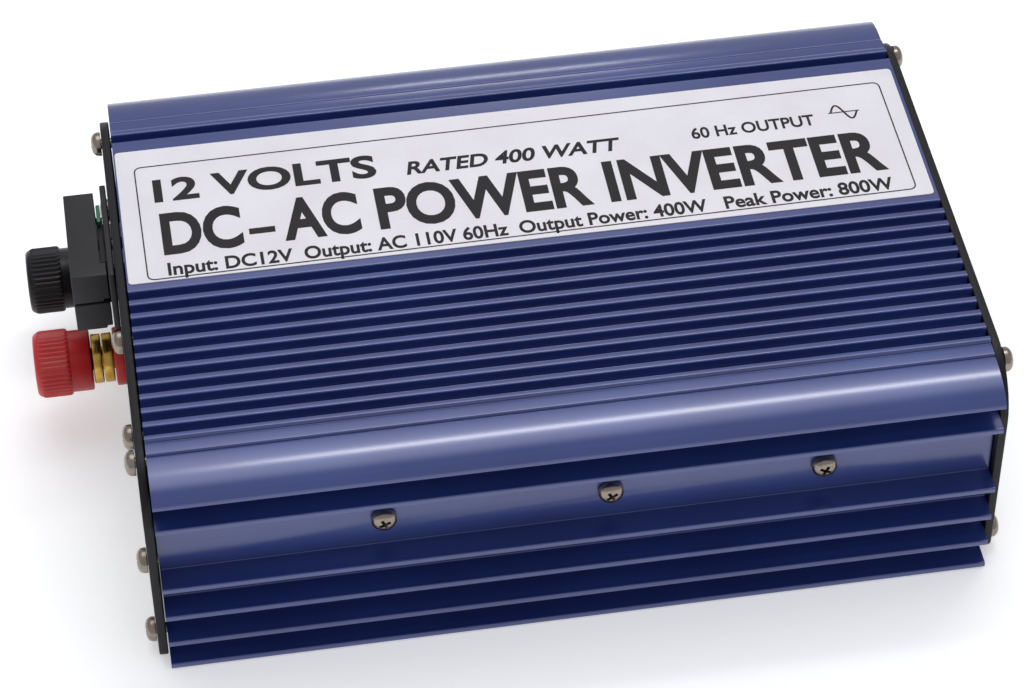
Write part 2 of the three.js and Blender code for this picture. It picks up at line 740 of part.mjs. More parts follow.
function addInside() {
  const boardHalf = halfWidth - housing.wallIn - 2 * play;
  put("main_board", box(-88, -88 + board.length, -boardHalf, boardHalf, board.low, boardTop), boardGreen);
  const stack = new THREE.Group();
  stack.position.set(-28, 4, 0);
  inverter.add(stack);
  put("transformer_core", transformerCore(), ferrite, { parent: stack });
  put("transformer_coil", transformerCoil(), copper, { parent: stack });
  put("output_choke", choke(), copper, { at: [38, 2, boardTop + 17.2] });
  const stand = boardTop + play;
  put("input_capacitor_1", canUpright(8, 32), sleeve, { at: [-64, 22, stand] });
  put("input_capacitor_2", canUpright(8, 32), sleeve, { at: [-64, 2, stand] });
  put("output_capacitor", canUpright(11, 36), sleeve, { at: [66, 24, stand] });
  put("clamp_bar_front", clampingBar(-1), aluminium);
  put("clamp_bar_rear", clampingBar(1), aluminium);
  const standOff = halfWidth - housing.wallIn - play;
  [-20, 33].forEach((x, i) => {
    put(`transistor_front_${i + 1}`, transistor(), epoxy, { at: [x, -standOff, 0] });
    put(`transistor_rear_${i + 1}`, transistor(), epoxy, { at: [x, standOff, 0], turn: [0, 0, Math.PI] });
  });
}

// ---- assembly ----

put("housing_shell", housingShell(), blueAnodised);
put("base_plate", basePlate(), blueAnodised);
put("dc_end_panel", dcEndPanel(), blackSteel);
put("ac_end_panel", acEndPanel(), blackSteel);
put("rating_label", ratingLabel(), labelFilm);
addScrews();
addPost("red", post.redY, redPlastic);
addPost("black", post.blackY, blackPlastic);
addFuseBlock();
addFan();
addAcEnd();
addInside();

export default inverter;
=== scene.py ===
import math
import random

import bmesh
import bpy
from mathutils import Matrix, Vector


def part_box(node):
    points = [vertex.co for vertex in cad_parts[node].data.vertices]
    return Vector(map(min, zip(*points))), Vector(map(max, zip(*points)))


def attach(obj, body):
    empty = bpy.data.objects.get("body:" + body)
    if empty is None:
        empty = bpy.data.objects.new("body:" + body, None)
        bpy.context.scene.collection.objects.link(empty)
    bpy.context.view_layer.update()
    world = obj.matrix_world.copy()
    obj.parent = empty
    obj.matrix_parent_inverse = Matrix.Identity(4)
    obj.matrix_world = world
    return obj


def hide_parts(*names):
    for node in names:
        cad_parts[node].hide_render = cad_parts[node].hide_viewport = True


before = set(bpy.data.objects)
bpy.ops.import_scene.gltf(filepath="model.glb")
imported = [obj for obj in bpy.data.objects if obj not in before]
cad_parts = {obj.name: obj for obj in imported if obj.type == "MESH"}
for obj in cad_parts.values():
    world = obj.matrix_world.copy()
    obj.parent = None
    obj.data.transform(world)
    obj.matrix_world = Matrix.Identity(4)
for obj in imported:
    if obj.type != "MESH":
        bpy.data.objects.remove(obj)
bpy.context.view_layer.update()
scene = bpy.context.scene
mm = 0.001
dice = random.Random(7)
print("frame loaded:", len(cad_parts), "nodes")


# ---- materials ----


def srgb(hexText):
    channels = [int(hexText[i : i + 2], 16) / 255 for i in (1, 3, 5)]
    linear = [c / 12.92 if c <= 0.04045 else ((c + 0.055) / 1.055) ** 2.4 for c in channels]
    return (*linear, 1.0)


def addNode(tree, kind, settings=None, inputs=None):
    node = tree.nodes.new("ShaderNode" + kind)
    for name, value in (settings or {}).items():
        setattr(node, name, value)
    for name, value in (inputs or {}).items():
        if isinstance(value, bpy.types.NodeSocket):
            tree.links.new(value, node.inputs[name])
        else:
            node.inputs[name].default_value = value
    return node


# A finish: two shades that drift into each other, and a grain that sets roughness and fine relief.
# patch and grain sizes are in mm; stretch is how much longer the grain is along X, Y and Z.
def makeFinish(name, surface, shades, patch, grain, stretch=(1, 1, 1), rough=(0.3, 0.4), relief=0.01):
    material = bpy.data.materials.new(name)
    material.use_nodes = True
    tree = material.node_tree
    tree.nodes.clear()
    place = addNode(tree, "TexCoord").outputs["Object"]
    blotch = addNode(tree, "TexNoise", {}, {"Vector": place, "Scale": 1 / (patch * mm), "Detail": 2})
    narrow = [1 / s for s in stretch]
    drawn = addNode(tree, "Mapping", {}, {"Vector": place, "Scale": narrow}).outputs["Vector"]
    fine = addNode(tree, "TexNoise", {}, {"Vector": drawn, "Scale": 1 / (grain * mm), "Detail": 3})
    # half of the grain, centred on zero, is laid over the blotches
    mixed = addNode(tree, "Math", {"operation": "MULTIPLY_ADD"}, {0: fine.outputs["Fac"], 1: 0.5, 2: -0.25})
    share = addNode(tree, "Math", {"operation": "ADD"}, {0: mixed.outputs[0], 1: blotch.outputs["Fac"]})
    evened = addNode(tree, "MapRange", {}, {"Value": share.outputs[0], "From Min": 0.3, "From Max": 0.7})
    tint = addNode(
        tree,
        "Mix",
        {"data_type": "RGBA"},
        {0: evened.outputs["Result"], 6: srgb(shades[0]), 7: srgb(shades[1])},
    )
    spread = {"From Min": 0.3, "From Max": 0.7, "To Min": rough[0], "To Max": rough[1]}
    gloss = addNode(tree, "MapRange", {}, {"Value": fine.outputs["Fac"], **spread})
    height = {"Height": fine.outputs["Fac"], "Distance": relief * mm, "Strength": 1.0}
    bump = addNode(tree, "Bump", {}, height)
    linked = {
        "Base Color": tint.outputs[2],
        "Roughness": gloss.outputs["Result"],
        "Normal": bump.outputs["Normal"],
    }
    shader = addNode(tree, "BsdfPrincipled", {}, {**surface, **linked})
    addNode(tree, "OutputMaterial", {}, {"Surface": shader.outputs["BSDF"]})
    return material


finishes = {
    # extruded, etched and dyed: satin, with faint die lines along X, and a clear oxide skin over the metal
    "blueAnodised": makeFinish(
        "aluminium extruded and blue anodised",
        {
            "Metallic": 0.2,
            "Specular IOR Level": 0.25,
            "Coat Weight": 1.0,
            "Coat Roughness": 0.17,
            "Coat IOR": 1.66,
        },
        ("#243474", "#2c3e80"),
        patch=45,
        grain=1.1,  # real die lines are finer; drawn this coarse to show
        stretch=(160, 1, 1),
        rough=(0.34, 0.44),
        relief=0.008,
    ),
    # powder coat baked on pressed steel: satin black with a slight orange peel
    "blackSteel": makeFinish(
        "steel powder coated satin black",
        {"IOR": 1.36},
        ("#0b0b0d", "#111113"),
        patch=20,
        grain=0.7,
        rough=(0.42, 0.55),
        relief=0.03,
    ),
    # matt polyester film with a silvery back: pale, with a soft sheen
    "labelFilm": makeFinish(
        "polyester film silver white",
        {"Metallic": 0.15, "IOR": 1.55},
        ("#e6e2e6", "#edeaed"),
        patch=16,
        grain=0.5,
        rough=(0.36, 0.44),
        relief=0.004,
    ),
    # screen ink: dense, slightly warm black, flatter than the film
    "labelInk": makeFinish(
        "screen printing ink black",
        {"IOR": 1.35},
        ("#1b181a", "#231f21"),
        patch=6,
        grain=0.4,
        rough=(0.5, 0.6),
        relief=0.003,
    ),
    # bright nickel over cold headed steel: warm grey, with small forming marks
    "nickelSteel": makeFinish(
        "steel cold headed and nickel plated",
        {"Metallic": 1.0},
        ("#857b71", "#988d82"),
        patch=2.5,
        grain=0.6,
        rough=(0.2, 0.26),
        relief=0.002,
    ),
    # bar turned on a lathe: bright yellow, with rings round the X axis left by the tool
    "turnedBrass": makeFinish(
        "brass turned",
        {"Metallic": 1.0},
        ("#b48a3a", "#d9b35c"),
        patch=4,
        grain=0.22,
        stretch=(1, 60, 60),
        rough=(0.2, 0.3),
        relief=0.004,
    ),
    # zinc alloy blades stamped from strip and tin plated: soft grey shine
    "tinnedZinc": makeFinish(
        "zinc stamped and tin plated",
        {"Metallic": 1.0},
        ("#a3a5a6", "#bfc0c0"),
        patch=3,
        grain=0.3,
        rough=(0.28, 0.4),
        relief=0.008,
    ),
    # moulded ABS: saturated red, glossy skin with a trace of mould texture
    "redAbs": makeFinish(
        "ABS moulded red",
        {"IOR": 1.54, "Subsurface Weight": 0.06, "Subsurface Scale": 0.0012},
        ("#b51216", "#c6191a"),
        patch=7,
        grain=0.5,
        rough=(0.3, 0.42),
        relief=0.012,
    ),
    "blackAbs": makeFinish(
        "ABS moulded black",
        {"IOR": 1.36},
        ("#0a0a0c", "#101012"),
        patch=7,
        grain=0.5,
        rough=(0.32, 0.44),
        relief=0.012,
    ),
    # nylon moulded in a spark eroded tool: charcoal black with a fine even matt grain
    "blackNylon": makeFinish(
        "nylon moulded black",
        {"IOR": 1.42},
        ("#1b1b1e", "#232326"),
        patch=9,
        grain=0.35,
        rough=(0.45, 0.58),
        relief=0.02,
    ),
    # polycarbonate fuse body: clear amber that glows a little at its edges
    "amberBody": makeFinish(
        "polycarbonate moulded amber",
        {"IOR": 1.58, "Transmission Weight": 0.35},
        ("#e0a21a", "#efb733"),
        patch=6,
        grain=0.6,
        rough=(0.16, 0.24),
        relief=0.004,
    ),
    # woven glass laminate under solder mask: green with a faint weave
    "boardLaminate": makeFinish(
        "glass laminate solder masked green",
        {"IOR": 1.5, "Coat Weight": 0.3, "Coat Roughness": 0.2},
        ("#17593c", "#1f6b49"),
        patch=5,
        grain=0.45,
        stretch=(1, 3, 1),
        rough=(0.32, 0.45),
        relief=0.01,
    ),
    # glass filled PBT of the fan: dark grey, dull
    "fanPlastic": makeFinish(
        "PBT glass filled moulded dark grey",
        {"IOR": 1.55},
        ("#1c1c1f", "#262629"),
        patch=8,
        grain=0.4,
        rough=(0.45, 0.6),
        relief=0.02,
    ),
    # tinted acrylic lamp lenses: glossy, deep in colour, partly clear
    "greenLens": makeFinish(
        "acrylic moulded green",
        {"IOR": 1.49, "Transmission Weight": 0.4, "Coat Weight": 0.3},
        ("#1f8a3c", "#37a552"),
        patch=2,
        grain=0.5,
        rough=(0.1, 0.18),
        relief=0.003,
    ),
    "redLens": makeFinish(
        "acrylic moulded red",
        {"IOR": 1.49, "Transmission Weight": 0.4, "Coat Weight": 0.3},
        ("#951c1c", "#ad2a27"),
        patch=2,
        grain=0.5,
        rough=(0.1, 0.18),
        relief=0.003,
    ),
    # white pad printing on the switch
    "whiteInk": makeFinish(
        "pad printing ink white",
        {"IOR": 1.5},
        ("#cfcfcc", "#dddcd8"),
        patch=2,
        grain=0.3,
        rough=(0.5, 0.6),
        relief=0.003,
    ),
    # pressed and sintered ferrite: dull dark grey, slightly grainy
    "ferrite": makeFinish(
        "ferrite pressed and sintered",
        {"IOR": 2.2},
        ("#2b2b2e", "#3a3a3d"),
        patch=4,
        grain=0.6,
        rough=(0.55, 0.7),
        relief=0.04,
    ),
    # enamelled copper wire wound in layers: glossy turns about a millimetre apart
    "copperWire": makeFinish(
        "copper wire enamelled and wound",
        {"Metallic": 1.0, "Coat Weight": 0.5, "Coat Roughness": 0.1},
        ("#8a4a22", "#c47a45"),
        patch=3,
        grain=0.9,
        stretch=(12, 12, 1),
        rough=(0.25, 0.4),
        relief=0.25,
    ),
    # PVC sleeve shrunk on an aluminium can: dark blue, smooth
    "shrinkSleeve": makeFinish(
        "PVC sleeve heat shrunk dark blue",
        {"IOR": 1.53},
        ("#151c30", "#1c2540"),
        patch=9,
        grain=1.4,
        rough=(0.25, 0.38),
        relief=0.01,
    ),
    # transfer moulded epoxy: near black and matt
    "epoxyCase": makeFinish(
        "epoxy transfer moulded black",
        {"IOR": 1.55},
        ("#161617", "#1e1e20"),
        patch=3,
        grain=0.3,
        rough=(0.5, 0.65),
        relief=0.015,
    ),
    # drawn bar left as it came from the mill: grey with lines along X
    "millAluminium": makeFinish(
        "aluminium drawn mill finish",
        {"Metallic": 1.0},
        ("#9b9da0", "#b9bbbe"),
        patch=12,
        grain=0.5,
        stretch=(50, 1, 1),
        rough=(0.35, 0.5),
        relief=0.01,
    ),
    # matt backdrop paper lit a little from below: white, with faint shadows
    "studioFloor": makeFinish(
        "paper backdrop white",
        {"IOR": 1.4, "Emission Color": (1, 1, 1, 1), "Emission Strength": 0.36},
        ("#f4f4f3", "#f7f7f6"),
        patch=400,
        grain=3,
        rough=(0.8, 0.9),
        relief=0.01,
    ),
}
print("finishes made:", len(finishes))


# ---- shapes ----


nearlyStraight = math.radians(172)


# Rounds the corners of a line or a closed outline, up to the stated radius, as far as its edges allow.
def rounded(points, radius, steps=4, closed=True):
    made = []
    for i, point in enumerate(points):
        here = Vector(point)
        if not closed and i in (0, len(points) - 1):
            made.append(tuple(here))
            continue
        before = Vector(points[i - 1]) - here
        after = Vector(points[(i + 1) % len(points)]) - here
        corner = before.angle(after)
        if corner > nearlyStraight:
            made.append(tuple(here))
            continue
        cut = min(radius / math.tan(corner / 2), before.length * 0.45, after.length * 0.45)
        start = here + before.normalized() * cut
        end = here + after.normalized() * cut
        for k in range(steps + 1):
            t = k / steps
            made.append(tuple(start * (1 - t) ** 2 + here * 2 * t * (1 - t) + end * t * t))
    return made


# Welds, orients and shades a mesh: faces that meet at less than the stated angle look smooth.
def settle(mesh, degrees=32):
    work = bmesh.new()
    work.from_mesh(mesh)
    bmesh.ops.remove_doubles(work, verts=work.verts, dist=0.0005 * mm)
    bmesh.ops.recalc_face_normals(work, faces=work.faces)
    work.to_mesh(mesh)
    work.free()
    mesh.shade_smooth()
    mesh.set_sharp_from_angle(angle=math.radians(degrees))
    return mesh


def meshOf(name, vertices, faces, degrees=32):
    mesh = bpy.data.meshes.new(name)
    mesh.from_pydata([Vector(v) * mm for v in vertices], [], faces)
    return settle(mesh, degrees)


# A shape turned about the X axis, from (distance along X, radius) in mm.
# ripple may change the radius round the axis.
def turnedMesh(name, profile, sides=64, ripple=None, degrees=32):
    vertices = []
    for x, radius in profile:
        for k in range(sides):
            angle = math.tau * k / sides
            r = ripple(x, radius, angle) if ripple else radius
            vertices.append((x, r * math.cos(angle), r * math.sin(angle)))
    faces = []
    for i in range(len(profile) - 1):
        for k in range(sides):
            a = i * sides + k
            b = i * sides + (k + 1) % sides
            faces.append((a, b, b + sides, a + sides))
    return meshOf(name, vertices, faces, degrees)


# A plain rod along X, moved to its place.
def rodMesh(x0, x1, radius, sides, place):
    mesh = turnedMesh("rod", [(x0, 0), (x0, radius), (x1, radius), (x1, 0)], sides)
    mesh.transform(place)
    return mesh


# A prism between two equal outlines of (x, y, z) in mm.
def prismMesh(name, first, second, degrees=32):
    count = len(first)
    faces = [tuple(range(count)), tuple(range(count, 2 * count))]
    faces += [(i, (i + 1) % count, (i + 1) % count + count, i + count) for i in range(count)]
    return meshOf(name, first + second, faces, degrees)


# A plate across X with a rounded rim, from its outer outline and its openings' outlines, as (y, z) in mm.
def plateMesh(name, outlines, x0, x1, rim=0.3):
    curve = bpy.data.curves.new(name, "CURVE")
    curve.dimensions = "2D"
    curve.fill_mode = "BOTH"
    curve.extrude = (x1 - x0) / 2 - rim
    curve.bevel_depth = rim
    curve.bevel_resolution = 2
    curve.offset = -rim
    for outline in outlines:
        spline = curve.splines.new("POLY")
        spline.points.add(len(outline) - 1)
        for point, (y, z) in zip(spline.points, outline):
            point.co = (y, z, 0, 1)
        spline.use_cyclic_u = True
    mesh = meshFromCurve(name, curve)
    middle = (x0 + x1) / 2 * mm
    mesh.transform(Matrix(((0, 0, mm, middle), (mm, 0, 0, 0), (0, mm, 0, 0), (0, 0, 0, 1))))
    return settle(mesh)


def meshFromCurve(name, curve):
    holder = bpy.data.objects.new(name + "Curve", curve)
    scene.collection.objects.link(holder)
    evaluated = holder.evaluated_get(bpy.context.evaluated_depsgraph_get())
    mesh = bpy.data.meshes.new_from_object(evaluated)
    bpy.data.objects.remove(holder)
    bpy.data.curves.remove(curve)
    mesh.name = name
    mesh.materials.clear()
    return mesh


# Cuts tools from a mesh, or joins them to it.
def carved(mesh, tools, operation="DIFFERENCE", degrees=32):
    holder = bpy.data.objects.new("carving", mesh)
    scene.collection.objects.link(holder)
    cutters = []
    for tool in tools:
        cutter = bpy.data.objects.new("cutter", tool)
        scene.collection.objects.link(cutter)
        cutters.append(cutter)
        step = holder.modifiers.new("cut", "BOOLEAN")
        step.operation = operation
        step.solver = "EXACT"
        step.object = cutter
    evaluated = holder.evaluated_get(bpy.context.evaluated_depsgraph_get())
    made = bpy.data.meshes.new_from_object(evaluated)
    for spare in [holder, *cutters]:
        bpy.data.objects.remove(spare)
    made.name = mesh.name
    return settle(made, degrees)


def softenEdges(work, edges, size, steps, clamped):
    bmesh.ops.bevel(
        work,
        geom=edges,
        offset=size * mm,
        segments=steps,
        profile=0.5,
        affect="EDGES",
        clamp_overlap=clamped,
    )


def boxMesh(name, low, high, edge=0.3, steps=3):
    work = bmesh.new()
    size = [end - start for start, end in zip(low, high)]
    middle = [(end + start) / 2 for start, end in zip(low, high)]
    place = Matrix.Translation(Vector(middle) * mm) @ Matrix.Diagonal((*(s * mm for s in size), 1))
    bmesh.ops.create_cube(work, size=1, matrix=place)
    if edge:
        softenEdges(work, work.edges[:], edge, steps, False)
    mesh = bpy.data.meshes.new(name)
    work.to_mesh(mesh)
    work.free()
    return settle(mesh)


def joined(name, meshes, degrees=32):
    work = bmesh.new()
    for mesh in meshes:
        work.from_mesh(mesh)
    whole = bpy.data.meshes.new(name)
    work.to_mesh(whole)
    work.free()
    return settle(whole, degrees)


easing = {"weld": 0.004, "flat": math.radians(0.6), "sharp": math.radians(28), "steps": 3}


# A CAD node's shape with its sharp edges rounded.
def easedMesh(node, edge):
    work = bmesh.new()
    work.from_mesh(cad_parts[node].data)
    bmesh.ops.remove_doubles(work, verts=work.verts, dist=easing["weld"] * mm)
    bmesh.ops.dissolve_limit(
        work,
        angle_limit=easing["flat"],
        verts=work.verts[:],
        edges=work.edges[:],
        use_dissolve_boundaries=False,
    )
    sharp = [e for e in work.edges if e.is_manifold and e.calc_face_angle(0) > easing["sharp"]]
    softenEdges(work, sharp, edge, easing["steps"], True)
    mesh = bpy.data.meshes.new(node + "Eased")
    work.to_mesh(mesh)
    work.free()
    return settle(mesh)


def addPiece(name, mesh, finish, body="chassis", stands=(), place=None):
    piece = bpy.data.objects.new(name, mesh)
    scene.collection.objects.link(piece)
    if not mesh.materials:
        mesh.materials.append(finishes[finish])
    if place is not None:
        piece.matrix_world = place
    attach(piece, body)
    if stands:
        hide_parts(*stands)
    return piece


def boxInMm(node):
    low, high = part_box(node)
    return low / mm, high / mm


def centreOf(node):
    low, high = boxInMm(node)
    return (low + high) / 2


# Moves by millimetres.
def shifted(x, y, z):
    return Matrix.Translation(Vector((x, y, z)) * mm)


def turnedBy(degrees, axis):
    return Matrix.Rotation(math.radians(degrees), 4, axis)


def circle(y, z, radius, sides=48):
    turns = [math.tau * k / sides for k in range(sides)]
    return [(y + radius * math.cos(t), z + radius * math.sin(t)) for t in turns]


def rectangle(y0, y1, z0, z1, radius, steps=6):
    return rounded([(y0, z0), (y1, z0), (y1, z1), (y0, z1)], radius, steps)


# ---- housing extrusion ----

housing = {
    "wallOut": 6.7,  # from the fin tips in to the side wall
    "wallIn": 9.2,
    "ceiling": 57,
    "lipUnder": 55.7,
    "finTops": [1.6, 9.7, 19, 28.8, 49.5],
    "finThick": 1.6,
    "rollAcross": 12.1,
    "rollUp": 5.2,
    "rollFoot": 0.4,
    "rollInset": 0.3,
    "rollSteps": 44,
    "grooveFirst": 19.83,
    "groovePitch": 4.48,
    "grooveCount": 11,
    "grooveWidth": 2.7,
    "grooveFloor": 1.9,
    "grooveDeep": 3,
    "corner": 0.42,
    "ports": [(15.2, 57.2, 3.3), (9.8, 29.2, 3.2), (9.2, 4.8, 2.7)],  # inset, height, radius
    "bore": 1.65,
    "past": 130,  # bores run from beyond one end to beyond the other
    "sharp": 24,
}

shellLow, shellHigh = boxInMm("housing_shell")
halfWidth = (shellHigh.y - shellLow.y) / 2
shellTop = shellHigh.z


def housingSide():
    h = housing
    points = [(12.2, 0)]
    for top in h["finTops"]:
        under = top - h["finThick"]
        if under > 0.01:
            points.append((h["wallOut"], under))
        points += [(0, under), (0, top), (h["wallOut"], top)]
    points += [(h["wallOut"], h["lipUnder"]), (h["rollInset"] + 0.5, h["lipUnder"])]
    centre = (h["rollInset"] + h["rollAcross"], h["lipUnder"] + h["rollFoot"])
    for i in range(h["rollSteps"] + 1):
        angle = math.pi / 2 * i / h["rollSteps"]
        inset = centre[0] - h["rollAcross"] * math.cos(angle)
        points.append((inset, centre[1] + h["rollUp"] * math.sin(angle)))
    crest = centre[1] + h["rollUp"]
    points += [(centre[0] + 0.35, crest - 0.5), (centre[0] + 0.7, crest + 0.4)]
    points += [(16.2, shellTop - 0.7), (16.7, shellTop - 1.1), (17.1, shellTop)]
    return points


def grooveOutline(centre):
    half, floor = housing["grooveWidth"] / 2, housing["grooveFloor"] / 2
    low = shellTop - housing["grooveDeep"]
    left = [(centre - half, shellTop), (centre - floor, low)]
    return left + [(centre + floor, low), (centre + half, shellTop)]


# From the underside up: slot for the base, port block, slot for the board, wall, ceiling corner.
def housingInside():
    wall, ceiling = housing["wallIn"], housing["ceiling"]
    points = [(12.2, 0.9), (10, 0.9), (10, 2.5), (13, 2.5), (13, 8), (wall + 0.3, 8)]
    points += [(wall + 0.3, 10.2), (11.5, 10.2), (11.5, 11.4), (wall, 11.4)]
    return points + [(wall, ceiling - 3.2), (wall + 3.2, ceiling)]


# Outlines of (inset, height) laid on either side; the rear one runs backwards, to go on from the front.
def front(points):
    return [(inset - halfWidth, z) for inset, z in points]


def rear(points):
    return [(halfWidth - inset, z) for inset, z in reversed(points)]


def buildHousing():
    outline = front(housingSide())
    for i in range(housing["grooveCount"]):
        outline += front(grooveOutline(housing["grooveFirst"] + i * housing["groovePitch"]))
    outline += rear(grooveOutline(housing["grooveFirst"]))
    outline += rear(housingSide())
    inner = rear(housingInside()[::-1]) + front(housingInside()[::-1])
    outline = rounded(outline, housing["corner"], 5, closed=False)
    outline += rounded(inner, 0.4, 2, closed=False)
    ends = [[(x, y, z) for y, z in outline] for x in (shellLow.x, shellHigh.x)]
    shell = prismMesh("housing", *ends, housing["sharp"])
    bosses, holes = [], []
    for inset, z, radius in housing["ports"]:
        for side in (-1, 1):
            place = shifted(0, side * (halfWidth - inset), z)
            bosses.append(rodMesh(shellLow.x + 0.01, shellHigh.x - 0.01, radius, 32, place))
            holes.append(rodMesh(-housing["past"], housing["past"], housing["bore"], 20, place))
    for i in (1, 2, 3):
        spot = centreOf(f"front_screw_{i}")
        place = shifted(spot.x, 0, spot.z) @ turnedBy(90, "Z")
        holes.append(rodMesh(-housing["past"], housing["past"], housing["bore"], 20, place))
    portCount = len(bosses)
    shell = carved(shell, [joined("bosses", bosses)], "UNION", housing["sharp"])
    shell = carved(shell, [joined("bores", holes[:portCount])], "DIFFERENCE", housing["sharp"])
    shell = carved(shell, [joined("sideBores", holes[portCount:])], "DIFFERENCE", housing["sharp"])
    addPiece("housingExtrusion", shell, "blueAnodised", stands=["housing_shell"])


buildHousing()
base = easedMesh("base_plate", 0.25)
addPiece("slidingBase", base, "blueAnodised", stands=["base_plate"])
print("housing and base made")


# ---- end panels ----

endPanel = {"topCorner": 15, "lowCorner": 3, "rim": 0.35, "screwHole": 1.65, "cornerSteps": 16}
dcOpenings = {
    "post": 5.3,
    "fuseHalf": 11.5,
    "fuseInset": 1.5,
    "fanReach": 17.8,
    "slotWidth": 2.4,
    "slotPitch": 4,
    "slots": 9,
}
acOpenings = {
    "socketHalf": 14.3,
    "switchHalf": (6.6, 9.7),
    "lamp": 2.75,
    "vents": 10,
    "ventPitch": 10,
    "ventHalf": 3.5,
    "ventLow": 54.2,
    "ventHigh": 56.2,
}


def panelRim(low, high):
    y = high.y
    points = []
    top, bottom = endPanel["topCorner"], endPanel["lowCorner"]
    for cy, cz, radius, start in (
        (y - bottom, low.z + bottom, bottom, -90),
        (y - top, high.z - top, top, 0),
        (top - y, high.z - top, top, 90),
        (bottom - y, low.z + bottom, bottom, 180),
    ):
        for k in range(endPanel["cornerSteps"] + 1):
            angle = math.radians(start + 90 * k / endPanel["cornerSteps"])
            points.append((cy + radius * math.cos(angle), cz + radius * math.sin(angle)))
    return points


def roundHoles(nodes, radius, sides):
    return [circle(centreOf(node).y, centreOf(node).z, radius, sides) for node in nodes]


def squareHole(spot, halfY, halfZ, radius):
    return rectangle(spot.y - halfY, spot.y + halfY, spot.z - halfZ, spot.z + halfZ, radius)


def dcOutlines():
    o = dcOpenings
    screws = [f"dc_end_screw_{i}" for i in range(1, 7)] + ["fan_screw_1", "fan_screw_2"]
    outlines = roundHoles(screws, endPanel["screwHole"], 24)
    outlines += roundHoles(["red_post_cap", "black_post_cap"], o["post"], 48)
    block = (boxInMm("fuse_holder_lower")[0] + boxInMm("fuse_holder_upper")[1]) / 2
    tall = boxInMm("fuse_holder_upper")[1].z - block.z - o["fuseInset"]
    outlines.append(squareHole(block, o["fuseHalf"], tall, 1))
    fan = centreOf("fan_frame")
    half = o["slotWidth"] / 2
    for i in range(o["slots"]):
        across = (i - o["slots"] // 2) * o["slotPitch"]
        tall = math.sqrt(o["fanReach"] ** 2 - (abs(across) + half) ** 2)
        outlines.append(squareHole(fan + Vector((0, across, 0)), half, tall, half * 0.98))
    return outlines


def acOutlines():
    o = acOpenings
    outlines = roundHoles([f"ac_end_screw_{i}" for i in range(1, 5)], endPanel["screwHole"], 24)
    for node in ("ac_outlet_1", "ac_outlet_2"):
        outlines.append(squareHole(centreOf(node), o["socketHalf"], o["socketHalf"], 0.8))
    outlines.append(squareHole(centreOf("switch_bezel"), *o["switchHalf"], 0.6))
    outlines += roundHoles(["power_lamp", "fault_lamp"], o["lamp"], 32)
    for i in range(o["vents"]):
        y = (i - (o["vents"] - 1) / 2) * o["ventPitch"]
        half = o["ventHalf"]
        outlines.append(rectangle(y - half, y + half, o["ventLow"], o["ventHigh"], 0.95))
    return outlines


def buildPanel(name, node, openings):
    low, high = boxInMm(node)
    mesh = plateMesh(name, [panelRim(low, high), *openings], low.x, high.x, endPanel["rim"])
    addPiece(name, mesh, "blackSteel", stands=[node])


buildPanel("dcPanel", "dc_end_panel", dcOutlines())
buildPanel("acPanel", "ac_end_panel", acOutlines())
print("end panels made")


# ---- screws ----

panScrew = {
    "head": 3.05,
    "high": 2.5,
    "rimHigh": 0.75,
    "shank": 1.3,
    "cross": 1.75,
    "arm": 0.42,
    "deep": 1.65,
    "crossTaper": 0.35,
    "armTaper": 0.75,
}


# Pan head with a tapered cross recess, along X, with the underside of the head at 0.
def screwMesh(length):
    s = panScrew
    profile = [(-length, 0), (-length, s["shank"] - 0.35), (0.35 - length, s["shank"])]
    profile += [(0, s["shank"]), (0, s["head"] - 0.12), (0.1, s["head"]), (s["rimHigh"], s["head"])]
    for k in range(1, 13):
        angle = math.pi / 2 * k / 12
        radius = s["head"] * math.cos(angle) ** 0.72
        rise = (s["high"] - s["rimHigh"]) * math.sin(angle) ** 0.95
        profile.append((s["rimHigh"] + rise, max(radius, 0)))
    head = turnedMesh("screw", profile, 40)
    tools = []
    for turn in (0, 90):
        top, low = s["cross"], s["cross"] * s["crossTaper"]
        thick, thin = s["arm"], s["arm"] * s["armTaper"]
        corners = [(s["high"] + 0.3, y, z) for y in (-top, top) for z in (-thick, thick)]
        corners += [(s["high"] - s["deep"], y, z) for y in (-low, low) for z in (-thin, thin)]
        faces = [(0, 1, 3, 2), (4, 5, 7, 6), (0, 1, 5, 4), (2, 3, 7, 6), (0, 2, 6, 4), (1, 3, 7, 5)]
        wedge = meshOf("wedge", corners, faces)
        wedge.transform(turnedBy(turn, "X"))
        tools.append(wedge)
    return carved(head, tools)


def buildScrews():
    shapes = {length: screwMesh(length) for length in (10, 12, 13)}
    outward = {"dc": 180, "fan": 180, "ac": 0, "front": -90, "rear": 90}
    names = [f"dc_end_screw_{i}" for i in range(1, 7)] + [f"ac_end_screw_{i}" for i in range(1, 5)]
    names += [f"{side}_screw_{i}" for side in ("front", "rear") for i in (1, 2, 3)]
    names += ["fan_screw_1", "fan_screw_2"]
    for name in names:
        low, high = boxInMm(name)
        spot = (low + high) / 2
        facing = turnedBy(outward[name.split("_")[0]], "Z")
        away = facing @ Vector((1, 0, 0))
        length = round(max(high - low) - panScrew["high"])
        reach = max(high - low) / 2 - panScrew["high"]
        spot += away * reach
        turn = Matrix.Rotation(dice.uniform(0, math.tau), 4, "X")
        addPiece(
            "screw." + name,
            shapes[length],
            "nickelSteel",
            stands=[name],
            place=shifted(*spot) @ facing @ turn,
        )


buildScrews()
print("screws made")


# ---- binding posts ----

bindingPost = {
    "ribs": 40,
    "collar": 7.8,
    "valley": 8.15,
    "grip": 8.5,
    "bore": 3.3,
    "threadPitch": 1.0,
    "threadDeep": 0.45,
    "threadStep": 0.125,
    "wireHole": 1.2,
    "stud": 3,
    "ring": 6.3,
    "base": 7.4,
    "spigot": 5,
    "capRound": 1.3,
}
